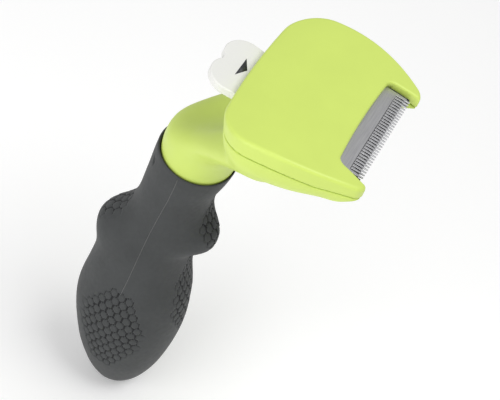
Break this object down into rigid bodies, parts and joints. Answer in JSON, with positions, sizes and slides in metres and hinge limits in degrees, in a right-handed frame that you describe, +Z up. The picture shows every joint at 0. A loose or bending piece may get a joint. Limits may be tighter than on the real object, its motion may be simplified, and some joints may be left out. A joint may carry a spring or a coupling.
{
  "type": "deshedding tool",
  "caption": "Hand deshedding tool: steel comb blade in an arched two-part head, a push button that ejects hair, and a rubber-covered handle with finger rests.",
  "frame": {"origin": "centre of the small flat at the end of the handle", "axes": "+Z up along the handle towards the head, +Y forward, the way the blade points, +X across the blade"},
  "size_m": [0.074, 0.0825, 0.1723],
  "materials": {
    "green_plastic": "fine satin moulded ABS, yellow-green",
    "white_plastic": "smooth warm white moulded plastic",
    "dark_plastic": "matt black moulded plastic",
    "grip_rubber": "soft matt charcoal over-moulded rubber with hexagon cells",
    "blade_steel": "fine brushed stainless comb plate",
    "screw_steel": "plain zinc-plated steel",
    "spring_steel": "drawn spring wire"
  },
  "bodies": {
    "body": {"head_cover": "green_plastic", "head_base": "green_plastic", "blade": "blade_steel", "blade_screw_left": "screw_steel", "blade_screw_right": "screw_steel", "cover_screw_rear_left": "screw_steel", "cover_screw_rear_right": "screw_steel", "cover_screw_front_left": "screw_steel", "cover_screw_front_right": "screw_steel", "return_spring_left": "spring_steel", "return_spring_right": "spring_steel", "spring_guide_left": "screw_steel", "spring_guide_right": "screw_steel", "grip_sleeve": "grip_rubber", "handle_core_left": "dark_plastic", "handle_core_right": "dark_plastic", "core_screw_1": "screw_steel", "core_screw_2": "screw_steel", "core_screw_3": "screw_steel"},
    "ejector": {"ejector_button": "white_plastic", "ejector_carriage": "white_plastic", "ejector_bar": "dark_plastic"}
  },
  "joints": [
    {"name": "ejector_slide", "type": "slide", "parent": "body", "child": "ejector", "axis": [0, 0.9954, -0.0958], "range_m": [0, 0.0055], "stiffness_N_per_m": 400, "springref_m": -0.004, "deforming": ["return_spring_left", "return_spring_right"]}
  ]
}
